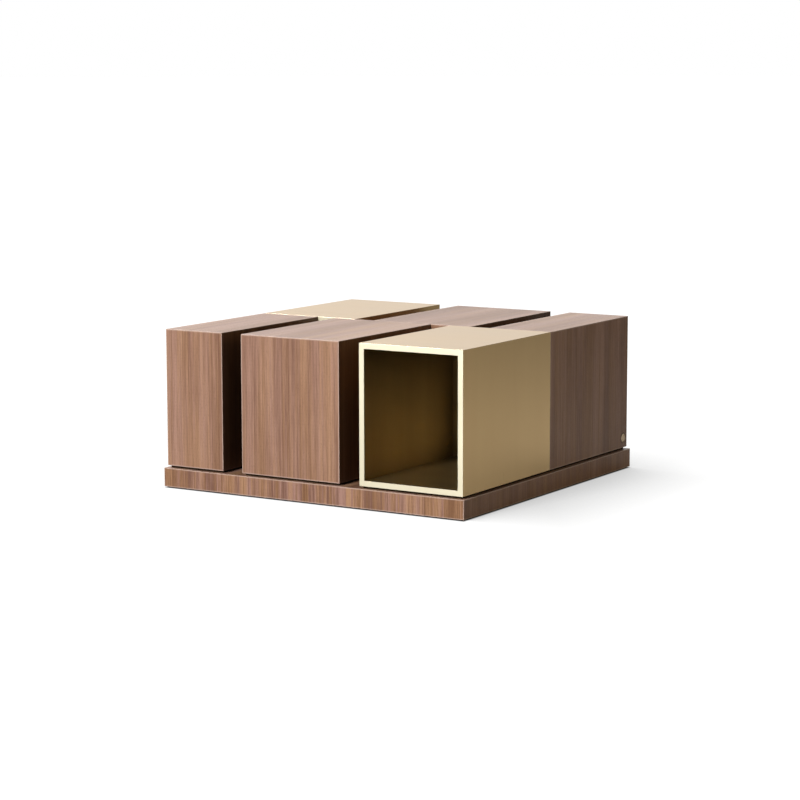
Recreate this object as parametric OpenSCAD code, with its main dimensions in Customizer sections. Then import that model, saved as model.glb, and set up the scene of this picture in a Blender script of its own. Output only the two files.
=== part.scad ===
// Low square table made of six upright-sided blocks on a thin plinth.
// Two rows of three blocks stand back to back. Each row is narrow, wide, wide, and the back row
// is the front row turned half round. One wide block in each row is a brass-clad box, open to
// the outside, and the others are closed walnut blocks.
// Frame: origin on the floor under the middle, front towards -Y, right towards +X, up +Z.

/* [Plinth] */
// Side of the square plinth
plinth_w = 914; // [760:1:1200]
// Height of the plinth board from its lower edge to its top
plinth_h = 50; // [46:1:80]
// Lip of the plinth that shows in front of the blocks
plinth_lip = 7; // [3:1:20]
// Gap between the floor and the plinth, which the feet keep
floor_gap = 3; // [2:0.5:5]

/* [Blocks] */
// Height of the blocks
block_h = 362; // [250:1:500]
// Height of the dark shadow line under the blocks
reveal_h = 6; // [4:0.5:12]
// Depth of the dark shadow line under the blocks
reveal_depth = 7; // [4:0.5:25]

/* [Boards] */
// Thickness of the walnut-veneered boards
board_t = 18; // [15:1:22]
// Thickness of the core inside a brass-clad panel
brass_core_t = 12; // [12:0.5:16]
// Thickness of the brass sheet on each face of that core
brass_sheet_t = 1.2; // [1:0.1:1.5]

/* [Bolts] */
// Shank diameter of the bolts that hold the blocks down
bolt_d = 8; // [6:1:8]
// Length of bolt that bites in its insert
bolt_bite = 9.4; // [7:0.1:11]
// Distance from a block's side to its bolts
bolt_side_inset = 40; // [35:1:45]
// Distance from a block's end to its bolts
bolt_end_inset = 95; // [85:1:110]

/* [Feet] */
// Diameter of a levelling foot's base
foot_d = 38; // [30:1:42]
// Height of a levelling foot's base
foot_base_h = 7; // [6:0.5:8]
// Diameter of the foot's threaded stud
stud_d = 10; // [8:1:10]
// Length of the foot's threaded stud above its base
stud_len = 22; // [20:1:24]

/* [Inlaid disc] */
// Diameter of the plain brass disc let into the back right block
disc_d = 30; // [20:1:36]
// Distance of the disc's centre from the block's back edge
disc_from_back = 23; // [20:1:60]
// Height of the disc's centre above the block's lower edge
disc_from_bottom = 27; // [20:1:60]

/* [Hidden] */
$fn = 64;

// Colours
walnut = [0.60, 0.45, 0.37];
brass = [0.76, 0.67, 0.45];
shadow_black = [0.06, 0.05, 0.05];
bare_wood = [0.80, 0.70, 0.54];
steel = [0.72, 0.72, 0.74];
yellow_metal = [0.80, 0.66, 0.36];
nylon = [0.10, 0.10, 0.10];

// Grid: a row is fifteen modules long, 3 for the narrow block, 5 for a wide one, 1 for a gap
grid_modules = 15;
row_len = plinth_w - 2 * plinth_lip;
grid = row_len / grid_modules;
function grid_x(modules) = modules * grid - row_len / 2;

// Heights
plinth_z0 = floor_gap;
plinth_z1 = plinth_z0 + plinth_h;
block_z0 = plinth_z1 + reveal_h;
block_z1 = block_z0 + block_h;
under_top_z = plinth_z1 - board_t;

// Boxes are [x0, x1, y0, y1, z0, z1]
function front_row(from, to) = [grid_x(from), grid_x(to), -row_len / 2, 0, block_z0, block_z1];
function back_row(from, to) = [grid_x(from), grid_x(to), 0, row_len / 2, block_z0, block_z1];
plinth_box = [-plinth_w / 2, plinth_w / 2, -plinth_w / 2, plinth_w / 2, plinth_z0, plinth_z1];
front_left_box = front_row(0, 3);
front_middle_box = front_row(4, 9);
front_right_box = front_row(10, 15);
back_left_box = back_row(0, 5);
back_middle_box = back_row(6, 11);
back_right_box = back_row(12, 15);
all_boxes = [
    front_left_box, front_middle_box, front_right_box,
    back_left_box, back_middle_box, back_right_box,
];

// Bolts, washers and inserts
bolt_clearance_d = bolt_d + 1;
bolt_head_d = 1.75 * bolt_d;
bolt_head_h = 0.55 * bolt_d;
bolt_socket_af = 0.625 * bolt_d;
bolt_socket_depth = 0.3 * bolt_d;
washer_d = 2 * bolt_d;
washer_t = 1.6;
insert_d = 1.5 * bolt_d;
insert_len = 12;
thread_slack = 0.1;
press_slack = 0.04;
tip_chamfer = 1;

// Feet, their inserts and the blocks that carry them
corner_block_w = 60;
foot_lift_slack = 0.3;
foot_rim_slack = 2;
foot_chamfer = 1;
foot_insert_d = stud_d + 4;
foot_insert_len = 20;
foot_seat_z = foot_base_h + foot_lift_slack;
foot_from_middle = plinth_w / 2 - board_t - corner_block_w / 2;

// Cross rails
cross_rail_x = 5 / 3 * grid;
cross_rail_lift = 2;

// Inlaid disc
disc_t = 1.5;
disc_sunk = 1;
disc_edge = 0.3;

brass_t = brass_core_t + 2 * brass_sheet_t;

// Flat board with its outer face on z = 0. mitre says which edges are cut at 45 degrees:
// [x = 0, x = w, y = 0, y = h], 1 for mitred and 0 for square.
module board(w, h, t, mitre) {
    intersection() {
        translate([0, h, 0]) rotate([90, 0, 0]) linear_extrude(h)
            polygon([[0, 0], [w, 0], [w - mitre[1] * t, t], [mitre[0] * t, t]]);
        rotate([90, 0, 90]) linear_extrude(w)
            polygon([[0, 0], [h, 0], [h - mitre[3] * t, t], [mitre[2] * t, t]]);
    }
}

// One board of a box, laid with its outer face on the named side of that box.
// On an upright side the board's y runs up; on the top and bottom its x runs along X.
module side_board(box, side, t, mitre) {
    w = box[1] - box[0];
    d = box[3] - box[2];
    h = box[5] - box[4];
    if (side == "front")
        translate([box[1], box[2], box[4]]) rotate([90, 0, 180]) board(w, h, t, mitre);
    if (side == "back")
        translate([box[0], box[3], box[4]]) rotate([90, 0, 0]) board(w, h, t, mitre);
    if (side == "left")
        translate([box[0], box[2], box[4]]) rotate([90, 0, 90]) board(d, h, t, mitre);
    if (side == "right")
        translate([box[1], box[3], box[4]]) rotate([90, 0, -90]) board(d, h, t, mitre);
    if (side == "top")
        translate([box[0], box[3], box[5]]) rotate([180, 0, 0]) board(w, d, t, mitre);
    if (side == "bottom")
        translate([box[0], box[2], box[4]]) board(w, d, t, mitre);
}

// Puts its children at the foot of each of a block's four bolt holes
module at_bolts(box, z) {
    for (x = [box[0] + bolt_side_inset, box[1] - bolt_side_inset])
        for (y = [box[2] + bolt_end_inset, box[3] - bolt_end_inset])
            translate([x, y, z]) children();
}

module at_all_bolts(z) {
    for (box = all_boxes) at_bolts(box, z) children();
}

// ---- Plinth ----

module plinth_top() {
    color(walnut) difference() {
        side_board(plinth_box, "top", board_t, [1, 1, 1, 1]);
        at_all_bolts(under_top_z - 1) cylinder(d = bolt_clearance_d, h = board_t + 2);
    }
}

module plinth_rail(side) {
    color(walnut) side_board(plinth_box, side, board_t, [1, 1, 0, 1]);
}

module cross_rail(x) {
    rail_len = plinth_w - 2 * board_t;
    rail_z0 = plinth_z0 + cross_rail_lift;
    color(bare_wood) translate([x - board_t / 2, -rail_len / 2, rail_z0])
        cube([board_t, rail_len, under_top_z - rail_z0]);
}

module corner_block(sx, sy) {
    color(bare_wood) translate([sx * foot_from_middle, sy * foot_from_middle, 0]) difference() {
        translate([-corner_block_w / 2, -corner_block_w / 2, plinth_z0])
            cube([corner_block_w, corner_block_w, under_top_z - plinth_z0]);
        cylinder(d = foot_d + 2 * foot_rim_slack, h = foot_seat_z);
        cylinder(d = foot_insert_d + press_slack, h = under_top_z + 1);
    }
}

module foot_inserts() {
    color(yellow_metal) for (sx = [-1, 1], sy = [-1, 1])
        translate([sx * foot_from_middle, sy * foot_from_middle, foot_seat_z]) difference() {
            cylinder(d = foot_insert_d, h = foot_insert_len);
            translate([0, 0, -1]) cylinder(d = stud_d, h = foot_insert_len + 2);
        }
}

module foot(sx, sy) {
    base_r = foot_d / 2;
    stud_r = (stud_d - thread_slack) / 2;
    stud_z = foot_base_h + stud_len;
    color(nylon) translate([sx * foot_from_middle, sy * foot_from_middle, 0]) rotate_extrude()
        polygon([
            [0, 0], [base_r - foot_chamfer, 0], [base_r, foot_chamfer],
            [base_r, foot_base_h], [stud_r, foot_base_h],
            [stud_r, stud_z - tip_chamfer], [stud_r - tip_chamfer, stud_z], [0, stud_z],
        ]);
}

// ---- Spacers that make the shadow line ----

module spacer(box) {
    color(shadow_black) difference() {
        translate([box[0] + reveal_depth, box[2] + reveal_depth, plinth_z1])
            cube([
                box[1] - box[0] - 2 * reveal_depth,
                box[3] - box[2] - 2 * reveal_depth,
                reveal_h,
            ]);
        at_bolts(box, plinth_z1 - 1) cylinder(d = bolt_clearance_d, h = reveal_h + 2);
    }
}

// ---- Walnut blocks ----

module walnut_top(box) {
    color(walnut) side_board(box, "top", board_t, [1, 1, 1, 1]);
}

module walnut_side(box, side) {
    color(walnut) side_board(box, side, board_t, [1, 1, 0, 1]);
}

module walnut_bottom(box) {
    color(bare_wood) difference() {
        translate([box[0] + board_t, box[2] + board_t, box[4]])
            cube([box[1] - box[0] - 2 * board_t, box[3] - box[2] - 2 * board_t, board_t]);
        at_bolts(box, box[4] - 1) cylinder(d = insert_d + press_slack, h = insert_len + 1);
    }
}

// The back right block's outer side carries the inlaid disc
module at_disc() {
    translate([
        back_right_box[1] - disc_sunk,
        back_right_box[3] - disc_from_back,
        back_right_box[4] + disc_from_bottom,
    ]) rotate([0, 90, 0]) children();
}

module walnut_side_with_disc_seat(box, side) {
    color(walnut) difference() {
        side_board(box, side, board_t, [1, 1, 0, 1]);
        at_disc() cylinder(d = disc_d + press_slack, h = disc_t + 1);
    }
}

module inlaid_disc() {
    color(yellow_metal) at_disc() rotate_extrude()
        polygon([
            [0, 0], [disc_d / 2, 0], [disc_d / 2, disc_t - disc_edge],
            [disc_d / 2 - disc_edge, disc_t], [0, disc_t],
        ]);
}

// ---- Brass-clad boxes ----

module brass_side(box, side) {
    color(brass) side_board(box, side, brass_t, [0, 0, 1, 1]);
}

module brass_top(box) {
    color(brass) side_board(box, "top", brass_t, [1, 1, 0, 0]);
}

module brass_bottom(box) {
    color(brass) difference() {
        side_board(box, "bottom", brass_t, [1, 1, 0, 0]);
        at_bolts(box, box[4] - 1) cylinder(d = insert_d + press_slack, h = insert_len + 1);
    }
}

// Closed end, let in between the four sides. y0 is its lower face along Y.
module brass_end(box, y0) {
    color(brass) translate([box[0] + brass_t, y0, box[4] + brass_t])
        cube([box[1] - box[0] - 2 * brass_t, brass_t, box[5] - box[4] - 2 * brass_t]);
}

// ---- Fastenings ----

module block_bolts() {
    shank_r = (bolt_d - thread_slack) / 2;
    shank_z = washer_t + board_t + reveal_h + bolt_bite;
    color(steel) at_all_bolts(under_top_z - washer_t - bolt_head_h) difference() {
        rotate_extrude()
            polygon([
                [0, 0], [bolt_head_d / 4, 0], [bolt_head_d / 2, bolt_head_h * 0.7],
                [bolt_head_d / 2, bolt_head_h], [shank_r, bolt_head_h],
                [shank_r, bolt_head_h + shank_z - tip_chamfer],
                [shank_r - tip_chamfer, bolt_head_h + shank_z], [0, bolt_head_h + shank_z],
            ]);
        translate([0, 0, -1])
            cylinder(d = bolt_socket_af / cos(30), h = bolt_socket_depth + 1, $fn = 6);
    }
}

module block_washers() {
    color(steel) at_all_bolts(under_top_z - washer_t) difference() {
        cylinder(d = washer_d, h = washer_t);
        translate([0, 0, -1]) cylinder(d = bolt_d + 0.4, h = washer_t + 2);
    }
}

module block_inserts() {
    color(yellow_metal) at_all_bolts(block_z0) difference() {
        cylinder(d = insert_d, h = insert_len);
        translate([0, 0, -1]) cylinder(d = bolt_d, h = insert_len + 2);
    }
}

// ---- Nodes ----

plinth_top();
plinth_rail("front");  // plinth_front_rail
plinth_rail("back");  // plinth_back_rail
plinth_rail("left");  // plinth_left_rail
plinth_rail("right");  // plinth_right_rail
cross_rail(-cross_rail_x);  // left_cross_rail
cross_rail(cross_rail_x);  // right_cross_rail
corner_block(-1, -1);  // front_left_corner_block
corner_block(1, -1);  // front_right_corner_block
corner_block(-1, 1);  // back_left_corner_block
corner_block(1, 1);  // back_right_corner_block
foot_inserts();
foot(-1, -1);  // front_left_foot
foot(1, -1);  // front_right_foot
foot(-1, 1);  // back_left_foot
foot(1, 1);  // back_right_foot

spacer(front_left_box);  // front_left_spacer
spacer(front_middle_box);  // front_middle_spacer
spacer(front_right_box);  // front_right_spacer
spacer(back_left_box);  // back_left_spacer
spacer(back_middle_box);  // back_middle_spacer
spacer(back_right_box);  // back_right_spacer

walnut_top(front_left_box);  // front_left_block_top
walnut_bottom(front_left_box);  // front_left_block_bottom
walnut_side(front_left_box, "front");  // front_left_block_front
walnut_side(front_left_box, "back");  // front_left_block_back
walnut_side(front_left_box, "left");  // front_left_block_left
walnut_side(front_left_box, "right");  // front_left_block_right

walnut_top(front_middle_box);  // front_middle_block_top
walnut_bottom(front_middle_box);  // front_middle_block_bottom
walnut_side(front_middle_box, "front");  // front_middle_block_front
walnut_side(front_middle_box, "back");  // front_middle_block_back
walnut_side(front_middle_box, "left");  // front_middle_block_left
walnut_side(front_middle_box, "right");  // front_middle_block_right

walnut_top(back_middle_box);  // back_middle_block_top
walnut_bottom(back_middle_box);  // back_middle_block_bottom
walnut_side(back_middle_box, "front");  // back_middle_block_front
walnut_side(back_middle_box, "back");  // back_middle_block_back
walnut_side(back_middle_box, "left");  // back_middle_block_left
walnut_side(back_middle_box, "right");  // back_middle_block_right

walnut_top(back_right_box);  // back_right_block_top
walnut_bottom(back_right_box);  // back_right_block_bottom
walnut_side(back_right_box, "front");  // back_right_block_front
walnut_side(back_right_box, "back");  // back_right_block_back
walnut_side(back_right_box, "left");  // back_right_block_left
walnut_side_with_disc_seat(back_right_box, "right");  // back_right_block_right

brass_top(front_right_box);  // front_right_box_top
brass_bottom(front_right_box);  // front_right_box_bottom
brass_side(front_right_box, "left");  // front_right_box_left
brass_side(front_right_box, "right");  // front_right_box_right
brass_end(front_right_box, -brass_t);  // front_right_box_end

brass_top(back_left_box);  // back_left_box_top
brass_bottom(back_left_box);  // back_left_box_bottom
brass_side(back_left_box, "left");  // back_left_box_left
brass_side(back_left_box, "right");  // back_left_box_right
brass_end(back_left_box, 0);  // back_left_box_end

block_bolts();
block_washers();
block_inserts();
inlaid_disc();
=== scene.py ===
"""Looks for a low square table: six blocks on a plinth, four of walnut and two of brass.

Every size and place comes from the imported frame. Lengths are in metres, +Z is up, the front
faces -Y and the right side faces +X.
"""

import logging
import math
import random
from dataclasses import dataclass, field
from enum import Enum
from typing import Iterable, Optional, Sequence, Union

import bmesh
import bpy
from mathutils import Matrix, Vector


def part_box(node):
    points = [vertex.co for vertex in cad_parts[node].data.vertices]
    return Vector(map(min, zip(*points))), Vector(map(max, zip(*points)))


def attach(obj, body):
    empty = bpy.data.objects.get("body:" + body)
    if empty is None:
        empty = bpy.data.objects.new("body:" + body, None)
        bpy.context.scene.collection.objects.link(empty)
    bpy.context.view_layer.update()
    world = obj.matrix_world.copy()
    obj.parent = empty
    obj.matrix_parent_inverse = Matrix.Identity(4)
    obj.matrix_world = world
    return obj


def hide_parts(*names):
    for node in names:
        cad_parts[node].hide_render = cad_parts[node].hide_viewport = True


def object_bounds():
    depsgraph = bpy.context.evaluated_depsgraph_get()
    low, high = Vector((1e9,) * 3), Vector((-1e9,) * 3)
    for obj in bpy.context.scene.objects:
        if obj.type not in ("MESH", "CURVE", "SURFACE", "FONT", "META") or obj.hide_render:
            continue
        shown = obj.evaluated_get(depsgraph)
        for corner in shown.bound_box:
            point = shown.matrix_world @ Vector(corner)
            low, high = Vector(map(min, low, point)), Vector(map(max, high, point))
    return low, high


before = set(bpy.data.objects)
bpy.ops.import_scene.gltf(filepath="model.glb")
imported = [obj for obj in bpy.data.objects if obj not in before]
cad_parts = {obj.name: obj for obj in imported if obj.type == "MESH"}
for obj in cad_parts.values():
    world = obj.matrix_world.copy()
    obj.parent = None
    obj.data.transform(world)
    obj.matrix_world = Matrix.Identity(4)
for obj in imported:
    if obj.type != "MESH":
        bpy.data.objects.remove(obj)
cad_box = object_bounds()

log = logging.getLogger("table")

MM = 0.001
VENEER_MAP = "veneer"
# The rim value is 1 on each board's arris band, which the finishes lighten as a painted highlight.
PAINTED_EDGE_HIGHLIGHT = "rim"
LEAF = "leaf"

Colour = tuple[float, float, float]
Span = tuple[float, float]
Socket = bpy.types.NodeSocket
Plug = Union[Socket, float, Sequence[float]]


# ---------------------------------------------------------------------------
# Words for places and directions
# ---------------------------------------------------------------------------


class Side(Enum):
    """The side of a box that a board's outer face lies on.

    Each value holds the board's across axis, its along axis, the way into the box, and whether
    its corner sits at the low (0) or high (1) end of the box on X, Y and Z.
    """

    FRONT = ((1, 0, 0), (0, 0, 1), (0, 1, 0), (0, 0, 0))
    BACK = ((1, 0, 0), (0, 0, 1), (0, -1, 0), (0, 1, 0))
    LEFT = ((0, 1, 0), (0, 0, 1), (1, 0, 0), (0, 0, 0))
    RIGHT = ((0, 1, 0), (0, 0, 1), (-1, 0, 0), (1, 0, 0))
    TOP = ((1, 0, 0), (0, 1, 0), (0, 0, -1), (0, 0, 1))
    BOTTOM = ((1, 0, 0), (0, 1, 0), (0, 0, 1), (0, 0, 0))

    @property
    def across(self) -> Vector:
        """The board's width direction."""
        return Vector(self.value[0])

    @property
    def along(self) -> Vector:
        """The board's height direction, which its grain follows."""
        return Vector(self.value[1])

    @property
    def inward(self) -> Vector:
        """The direction from the outer face into the board."""
        return Vector(self.value[2])

    def corner(self, low: Vector, high: Vector) -> Vector:
        """The corner of a box where this side's board starts.

        Args:
            low: The box's lowest corner.
            high: The box's highest corner.

        Returns:
            The point at across = along = depth = 0.
        """
        return Vector(high[i] if end else low[i] for i, end in enumerate(self.value[3]))


@dataclass(frozen=True)
class Mitres:
    """Which of a board's four edges are cut at 45 degrees."""

    near: bool = False
    far: bool = False
    low: bool = False
    high: bool = False


class Lined(Enum):
    """Which face of a board is lined with its second finish."""

    NOWHERE = "nowhere"
    OUTER = "outer face"
    INNER = "inner face"


class Coat(Enum):
    """Where each of a board's finishes sits in its list."""

    OUTSIDE = 0
    LINING = 1
    EDGING = 2


ALL_ROUND = Mitres(True, True, True, True)
UPRIGHT = Mitres(True, True, False, True)
LONG_EDGES = Mitres(True, True, False, False)
UPPER_AND_LOWER = Mitres(False, False, True, True)
SQUARE = Mitres()


# ---------------------------------------------------------------------------
# Node trees
# ---------------------------------------------------------------------------


class Builder:
    """Adds and links nodes in one node tree."""

    def __init__(self, tree: bpy.types.NodeTree) -> None:
        """Starts on a tree.

        Args:
            tree: The node tree to work in.
        """
        self.nodes = tree.nodes
        self.links = tree.links

    def put(self, socket: Socket, value: object) -> None:
        """Links a socket to an output, or sets it to a plain value.

        Args:
            socket: The input to fill.
            value: An output socket or a plain value.
        """
        if isinstance(value, Socket):
            self.links.new(value, socket)
        else:
            socket.default_value = value

    def node(self, kind: str, settings: Optional[dict[str, object]] = None,
             **inputs: object) -> bpy.types.Node:
        """Adds a node.

        Args:
            kind: The node's type.
            settings: Its properties, set before its inputs.
            **inputs: What goes into its inputs, named with _ for spaces.

        Returns:
            The node.
        """
        node = self.nodes.new(kind)
        for key, value in (settings or {}).items():
            setattr(node, key, value)
        for key, value in inputs.items():
            self.put(node.inputs[key.replace("_", " ")], value)
        return node

    def filled(self, kind: str, *values: object, **settings: object) -> bpy.types.Node:
        """Adds a node whose inputs are filled in order.

        Args:
            kind: The node's type.
            *values: What goes into its first inputs.
            **settings: Its properties.

        Returns:
            The node.
        """
        node = self.node(kind, settings)
        for socket, value in zip(node.inputs, values):
            self.put(socket, value)
        return node

    def math(self, operation: str, a: Plug, b: Plug = 0.0) -> Socket:
        """One step of arithmetic.

        Args:
            operation: The Math node's operation.
            a: First value.
            b: Second value.

        Returns:
            The result.
        """
        return self.filled("ShaderNodeMath", a, b, operation=operation).outputs[0]


@dataclass(frozen=True)
class Grain:
    """Noise drawn out along the grain.

    It has so many features per metre across and along, and its own layer number, which keeps it
    different from the others. Detail is how many finer layers it has, and weight its share of
    the finish's tone.
    """

    across: float
    along: float
    layer: float
    detail: float = 2.0
    weight: float = 1.0


@dataclass(frozen=True)
class Cloud:
    """Noise through the solid, with so many features per metre on X, Y and Z, and finer layers."""

    x: float
    y: float
    z: float
    detail: float


class Graph(Builder):
    """A material's or a world's shader tree."""

    def __init__(self, holder: Union[bpy.types.Material, bpy.types.World]) -> None:
        """Starts on the tree of a new material or world.

        Args:
            holder: The material or world.
        """
        holder.use_nodes = True
        super().__init__(holder.node_tree)
        self.holder = holder

    def scaled(self, value: Plug, factor: float) -> Socket:
        """Multiplies a value by a number."""
        return self.math("MULTIPLY", value, factor)

    def weighted(self, *terms: tuple[Plug, float]) -> Socket:
        """Adds up values.

        Args:
            *terms: Each value and its weight.

        Returns:
            The sum.
        """
        total = self.scaled(*terms[0])
        for value, weight in terms[1:]:
            total = self.math("ADD", total, self.scaled(value, weight))
        return total

    def vector(self, x: Plug, y: Plug, z: Plug) -> Socket:
        """Joins three values into a vector."""
        return self.filled("ShaderNodeCombineXYZ", x, y, z).outputs[0]

    def split(self, vector: Socket) -> tuple[Socket, ...]:
        """Splits a vector into its three values."""
        return tuple(self.filled("ShaderNodeSeparateXYZ", vector).outputs)

    def facing(self, vector: Socket, towards: Sequence[float]) -> Socket:
        """How far a vector reaches towards a direction."""
        node = self.filled("ShaderNodeVectorMath", vector, towards, operation="DOT_PRODUCT")
        return node.outputs["Value"]

    def surface_map(self) -> tuple[Socket, ...]:
        """The piece's own map, in metres: across the grain, along it, and nothing."""
        return self.split(self.node("ShaderNodeUVMap", {"uv_map": VENEER_MAP}).outputs["UV"])

    def place(self) -> Socket:
        """The point's place in the frame, in metres."""
        return self.node("ShaderNodeTexCoord").outputs["Object"]

    def marked(self, attribute: str) -> Socket:
        """A value that the mesh carries."""
        return self.node("ShaderNodeAttribute", {"attribute_name": attribute}).outputs["Fac"]

    def openness(self, reach: Plug) -> Socket:
        """How open the point is, from 0 in a tight corner to 1, looking as far as the reach."""
        return self.node("ShaderNodeAmbientOcclusion", Distance=reach).outputs["AO"]

    def noise(self, at: Socket, detail: float = 2.0) -> Socket:
        """Cloudy noise from 0 to 1, one feature to each unit of its coordinates.

        Args:
            at: The coordinates.
            detail: How many finer layers are added.

        Returns:
            The noise.
        """
        node = self.node("ShaderNodeTexNoise", Vector=at, Scale=1.0, Detail=detail, Roughness=0.5)
        return node.outputs["Fac"]

    def cloud(self, cloud: Cloud) -> Socket:
        """Noise through the solid.

        Args:
            cloud: The noise's measures.

        Returns:
            The noise.
        """
        x, y, z = self.split(self.place())
        at = self.vector(self.scaled(x, cloud.x), self.scaled(y, cloud.y), self.scaled(z, cloud.z))
        return self.noise(at, cloud.detail)

    def grain(self, u: Socket, v: Socket, grain: Grain) -> Socket:
        """Noise drawn out along the grain.

        Args:
            u: Place across the grain.
            v: Place along the grain.
            grain: The noise's measures.

        Returns:
            The noise.
        """
        at = self.vector(self.scaled(u, grain.across), self.scaled(v, grain.along), grain.layer)
        return self.noise(at, grain.detail)

    def layers(self, u: Socket, v: Socket, *grains: Grain) -> list[tuple[Socket, float]]:
        """Several noises drawn out along the grain.

        Args:
            u: Place across the grain.
            v: Place along the grain.
            *grains: The noises' measures.

        Returns:
            Each noise and its weight.
        """
        return [(self.grain(u, v, grain), grain.weight) for grain in grains]

    def spread(self, value: Plug, low: float, high: float, start: float = 0.0, end: float = 1.0,
               soft: bool = True) -> Socket:
        """Stretches one range over another and holds the value at its ends.

        Args:
            value: The value.
            low: Where the value's range starts.
            high: Where it ends.
            start: The result at low.
            end: The result at high.
            soft: Whether the result eases in and out.

        Returns:
            The result.
        """
        easing = {"interpolation_type": "SMOOTHSTEP" if soft else "LINEAR"}
        return self.node("ShaderNodeMapRange", easing, Value=value, From_Min=low, From_Max=high,
                         To_Min=start, To_Max=end).outputs["Result"]

    def ramp(self, value: Socket, *stops: tuple[float, Colour]) -> Socket:
        """Turns a value into a colour.

        Args:
            value: The value.
            *stops: Places from 0 to 1 and their colours.

        Returns:
            The colour.
        """
        node = self.node("ShaderNodeValToRGB", Fac=value)
        elements = node.color_ramp.elements
        while len(elements) < len(stops):
            elements.new(0.5)
        for element, (position, colour) in zip(elements, stops):
            element.position = position
            element.color = (*colour, 1.0)
        return node.outputs["Color"]

    def mix(self, share: Plug, a: Plug, b: Plug, blend: str = "MIX") -> Socket:
        """Mixes two colours.

        Args:
            share: How much of b is taken, from 0 to 1.
            a: First colour.
            b: Second colour.
            blend: The Mix node's blend mode.

        Returns:
            The mixed colour.
        """
        a, b = (value if isinstance(value, Socket) else (*value, 1.0) for value in (a, b))
        settings = {"data_type": "RGBA", "blend_type": blend}
        return self.node("ShaderNodeMix", settings, Factor=share, A=a, B=b).outputs["Result"]

    def bump(self, height: Socket, depth: float, strength: float = 0.5) -> None:
        """Raises the surface.

        Args:
            height: The height, from 0 to 1.
            depth: The height's full size in metres.
            strength: How much of it is taken.
        """
        node = self.node("ShaderNodeBump", Distance=depth, Strength=strength, Height=height)
        self.finish({"Normal": node.outputs["Normal"]})

    def finish(self, inputs: dict[str, Plug]) -> bpy.types.Material:
        """Fills the main shader's inputs.

        Args:
            inputs: The value of each, by its name.

        Returns:
            The material.
        """
        shader = self.nodes["Principled BSDF"]
        for name, value in inputs.items():
            self.put(shader.inputs[name], value)
        return self.holder


# ---------------------------------------------------------------------------
# Finishes
# ---------------------------------------------------------------------------


@dataclass(frozen=True)
class WalnutVeneer:
    """Straight-grained walnut veneer under a satin lacquer."""

    name: str = "walnut_veneer"
    slot: str = "walnut_veneer"
    dark: Colour = (0.090, 0.0465, 0.0285)
    middle: Colour = (0.136, 0.0755, 0.0485)
    light: Colour = (0.184, 0.109, 0.0735)
    edge_highlight_colour: Colour = (0.270, 0.200, 0.168)
    open_pore: Colour = (0.040, 0.020, 0.012)
    edge_highlight_share: float = 0.65
    contrast: float = 1.0
    tint: float = 1.0
    roughness: float = 0.25
    sway: Grain = Grain(6.0, 1.8, 0.4)
    sway_reach: float = 5 * MM
    band: Grain = Grain(13.0, 0.7, 3.1, weight=0.31)
    stripe: Grain = Grain(62.0, 1.3, 7.7, 3.0, weight=0.23)
    streak: Grain = Grain(230.0, 3.2, 2.9, weight=0.26)
    fibre: Grain = Grain(640.0, 22.0, 1.3, weight=0.20)
    pore: Grain = Grain(2300.0, 110.0, 5.9, 1.0)
    pore_from: Span = (0.60, 0.70)
    pore_share: float = 0.40
    broad_hue: Grain = Grain(28.0, 1.2, 11.0, weight=0.6)
    fine_hue: Grain = Grain(130.0, 2.4, 13.0, weight=0.4)
    hue_span: Span = (0.40, 0.60)
    leaf_weight: float = 0.012
    tone_reach: float = 0.150
    cool: Colour = (-0.01, -0.025, 0.06)
    warm: Colour = (0.03, 0.0, -0.09)
    relief: float = 0.06 * MM
    ior: float = 1.22

    def build(self) -> bpy.types.Material:
        """Makes the material: bands, stripes, fibres and open pores, all along the grain.

        Returns:
            The material.
        """
        g = Graph(bpy.data.materials.new(self.name))
        u, v, _ = g.surface_map()
        leaf, rim = g.marked(LEAF), g.marked(PAINTED_EDGE_HIGHLIGHT)
        sway = g.grain(u, v, self.sway)
        u = g.math("ADD", u, g.scaled(g.math("SUBTRACT", sway, 0.5), self.sway_reach))
        layers = g.layers(u, v, self.fibre, self.band, self.stripe, self.streak)
        fibre = layers[0][0]
        pore = g.spread(g.grain(u, v, self.pore), *self.pore_from)
        tone = g.weighted(*layers, (leaf, self.leaf_weight))
        reach = self.tone_reach / self.contrast
        tone = g.spread(tone, 0.5 - reach, 0.5 + reach)
        colour = g.ramp(tone, (0.0, self.dark), (0.5, self.middle), (1.0, self.light))
        hue = g.weighted(*g.layers(u, v, self.broad_hue, self.fine_hue))
        cool, warm = (tuple(1.0 + self.tint * shift for shift in way) for way in (self.cool, self.warm))
        colour = g.mix(1.0, colour, g.mix(g.spread(hue, *self.hue_span), cool, warm), "MULTIPLY")
        colour = g.mix(g.scaled(pore, self.pore_share), colour, self.open_pore)
        # Painted highlight: lighter along the arrises.
        colour = g.mix(g.scaled(rim, self.edge_highlight_share), colour, self.edge_highlight_colour)
        rough = g.weighted((fibre, 0.10), (pore, 0.16), (rim, -0.05))
        g.bump(g.weighted((fibre, 0.35), (pore, -0.65)), self.relief, 0.6)
        return g.finish({
            "Base Color": colour, "Roughness": g.math("ADD", rough, self.roughness), "IOR": self.ior,
        })


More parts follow.
